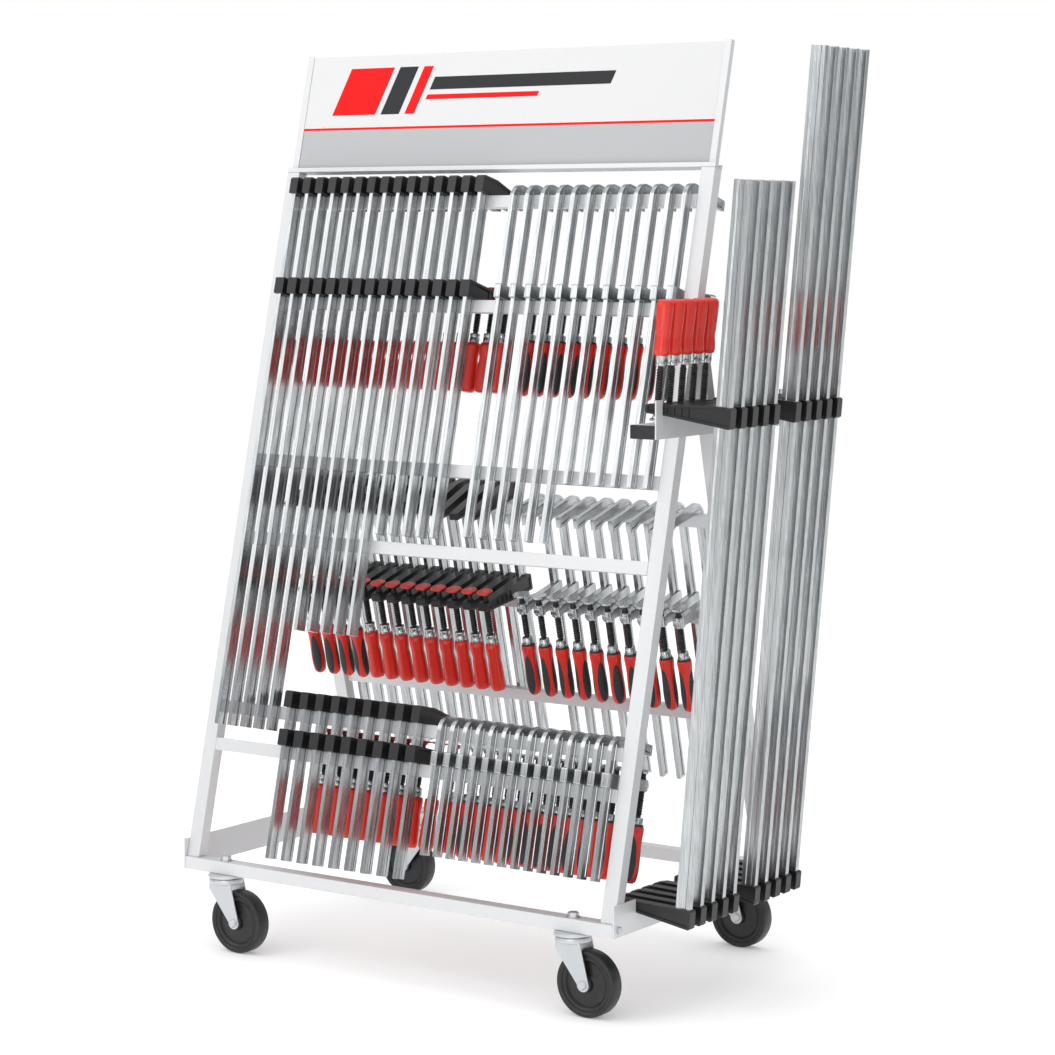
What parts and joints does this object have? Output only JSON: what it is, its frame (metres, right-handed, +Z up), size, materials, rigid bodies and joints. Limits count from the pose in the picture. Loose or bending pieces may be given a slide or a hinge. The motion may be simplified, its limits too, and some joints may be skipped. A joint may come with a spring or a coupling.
{
  "type": "rolling clamp rack",
  "caption": "Rolling A-frame rack of silver-grey steel on swivel casters, with rows of bar clamps hung on its rails, long clamps along one side and a sign panel on top.",
  "frame": {"origin": "on the floor, under the middle of the whole object's box", "axes": "+Z up, +X to the right of someone facing the sign, +Y to the back"},
  "size_m": [1.2684, 0.677, 1.7816],
  "materials": {
    "frame_paint": "satin silver-grey powder coat",
    "zinc_steel": "bright zinc-plated bar",
    "black_iron": "black enamelled casting",
    "handle_red": "glossy signal red",
    "caster_zinc": "zinc-plated pressing",
    "wheel_black": "black moulded wheel",
    "cap_black": "black moulded cap",
    "sign_face": "white printed panel"
  },
  "bodies": {
    "rack": {"base_front_rail": "frame_paint", "base_rear_rail": "frame_paint", "left_side_plate": "frame_paint", "right_side_plate_and_long_bars": "zinc_steel", "front_left_post": "frame_paint", "front_right_post": "frame_paint", "rear_left_leg": "frame_paint", "rear_right_leg": "frame_paint", "sign_rail": "frame_paint", "sign_channel_left": "frame_paint", "sign_channel_right": "frame_paint", "upper_hook_rail_and_bars": "zinc_steel", "upper_jaw_rail_and_jaws": "black_iron", "middle_rail_high": "frame_paint", "middle_rail_low": "frame_paint", "lower_hook_rail_and_bars": "zinc_steel", "lower_jaw_rail_and_jaws": "black_iron", "rear_hook_rail_and_bars": "zinc_steel", "rear_jaw_rail_and_jaws": "black_iron", "rear_low_rail": "frame_paint", "support_arm_tube": "frame_paint", "support_arm_front_cap": "cap_black", "support_arm_rear_cap": "cap_black", "support_arm_plate_and_jaws": "black_iron", "cast_clamp_bar": "zinc_steel", "cast_clamp_fixed_jaw": "black_iron", "steel_clamp_bar": "zinc_steel", "long_clamp_bar": "zinc_steel", "long_clamp_fixed_jaw": "black_iron", "front_left_caster_head": "caster_zinc", "front_right_caster_head": "caster_zinc", "rear_left_caster_head": "caster_zinc", "rear_right_caster_head": "caster_zinc"},
    "front_left_fork": {"front_left_caster_fork": "caster_zinc"},
    "front_left_wheel": {"front_left_caster_wheel": "wheel_black"},
    "front_right_fork": {"front_right_caster_fork": "caster_zinc"},
    "front_right_wheel": {"front_right_caster_wheel": "wheel_black"},
    "rear_left_fork": {"rear_left_caster_fork": "caster_zinc"},
    "rear_left_wheel": {"rear_left_caster_wheel": "wheel_black"},
    "rear_right_fork": {"rear_right_caster_fork": "caster_zinc"},
    "rear_right_wheel": {"rear_right_caster_wheel": "wheel_black"},
    "cast_clamp_slider": {"cast_clamp_sliding_jaw": "black_iron"},
    "cast_clamp_pressure": {"cast_clamp_pad": "zinc_steel"},
    "cast_clamp_screw": {"cast_clamp_spindle": "black_iron", "cast_clamp_handle": "handle_red"},
    "steel_clamp_slider": {"steel_clamp_sliding_jaw": "zinc_steel"},
    "steel_clamp_pressure": {"steel_clamp_pad": "zinc_steel"},
    "steel_clamp_screw": {"steel_clamp_spindle": "black_iron", "steel_clamp_handle": "handle_red"},
    "long_clamp_slider": {"long_clamp_sliding_jaw": "black_iron"},
    "long_clamp_pressure": {"long_clamp_pad": "zinc_steel"},
    "long_clamp_screw": {"long_clamp_spindle": "black_iron", "long_clamp_handle": "handle_red"},
    "sign": {"sign_panel": "sign_face"}
  },
  "joints": [
    {"name": "front_left_swivel", "type": "hinge", "parent": "rack", "child": "front_left_fork", "pos_m": [-0.53617, -0.3025, 0.155], "axis": [0, 0, 1], "continuous": true},
    {"name": "front_left_spin", "type": "hinge", "parent": "front_left_fork", "child": "front_left_wheel", "pos_m": [-0.50117, -0.3025, 0.0625], "axis": [0, 1, 0], "continuous": true},
    {"name": "front_right_swivel", "type": "hinge", "parent": "rack", "child": "front_right_fork", "pos_m": [0.29283, -0.3025, 0.155], "axis": [0, 0, 1], "continuous": true},
    {"name": "front_right_spin", "type": "hinge", "parent": "front_right_fork", "child": "front_right_wheel", "pos_m": [0.32783, -0.3025, 0.0625], "axis": [0, 1, 0], "continuous": true},
    {"name": "rear_left_swivel", "type": "hinge", "parent": "rack", "child": "rear_left_fork", "pos_m": [-0.50317, 0.3025, 0.155], "axis": [0, 0, 1], "continuous": true},
    {"name": "rear_left_spin", "type": "hinge", "parent": "rear_left_fork", "child": "rear_left_wheel", "pos_m": [-0.53817, 0.3025, 0.0625], "axis": [0, 1, 0], "continuous": true},
    {"name": "rear_right_swivel", "type": "hinge", "parent": "rack", "child": "rear_right_fork", "pos_m": [0.25983, 0.3025, 0.155], "axis": [0, 0, 1], "continuous": true},
    {"name": "rear_right_spin", "type": "hinge", "parent": "rear_right_fork", "child": "rear_right_wheel", "pos_m": [0.29483, 0.3025, 0.0625], "axis": [0, 1, 0], "continuous": true},
    {"name": "cast_clamp_jaw_slide", "type": "slide", "parent": "rack", "child": "cast_clamp_slider", "axis": [0, 0.2396, 0.9709], "range_m": [0, 0.1]},
    {"name": "cast_clamp_pad_travel", "type": "slide", "parent": "cast_clamp_slider", "child": "cast_clamp_pressure", "axis": [0, 0.2396, 0.9709], "range_m": [0, 0.04]},
    {"name": "cast_clamp_screw_turn", "type": "hinge", "parent": "cast_clamp_pressure", "child": "cast_clamp_screw", "pos_m": [-0.12097, 0.07498, 1.26562], "axis": [0, 0.2396, 0.9709], "range_deg": [0, 2881]},
    {"name": "steel_clamp_jaw_slide", "type": "slide", "parent": "rack", "child": "steel_clamp_slider", "axis": [0, 0.2396, 0.9709], "range_m": [0, 0.1]},
    {"name": "steel_clamp_pad_travel", "type": "slide", "parent": "steel_clamp_slider", "child": "steel_clamp_pressure", "axis": [0, 0.2396, 0.9709], "range_m": [0, 0.04]},
    {"name": "steel_clamp_screw_turn", "type": "hinge", "parent": "steel_clamp_pressure", "child": "steel_clamp_screw", "pos_m": [0.34103, 0.06818, 1.2673], "axis": [0, 0.2396, 0.9709], "range_deg": [0, 2881]},
    {"name": "long_clamp_jaw_slide", "type": "slide", "parent": "rack", "child": "long_clamp_slider", "axis": [0.0849, 0, 0.9964], "range_m": [0, 0.2]},
    {"name": "long_clamp_pad_travel", "type": "slide", "parent": "long_clamp_slider", "child": "long_clamp_pressure", "axis": [0.0849, 0, 0.9964], "range_m": [0, 0.00375]},
    {"name": "long_clamp_screw_turn", "type": "hinge", "parent": "long_clamp_pressure", "child": "long_clamp_screw", "pos_m": [0.42478, -0.2337, 1.10086], "axis": [0.0849, 0, 0.9964], "range_deg": [0, 271]},
    {"name": "sign_lift", "type": "slide", "parent": "rack", "child": "sign", "axis": [0, 0.2396, 0.9709], "range_m": [0, 0.25]}
  ],
  "couplings": [
    {"joint": "cast_clamp_screw_turn", "follows": "cast_clamp_pad_travel", "rad_per_m": 1256.6},
    {"joint": "steel_clamp_screw_turn", "follows": "steel_clamp_pad_travel", "rad_per_m": 1256.6},
    {"joint": "long_clamp_screw_turn", "follows": "long_clamp_pad_travel", "rad_per_m": 1256.6}
  ]
}
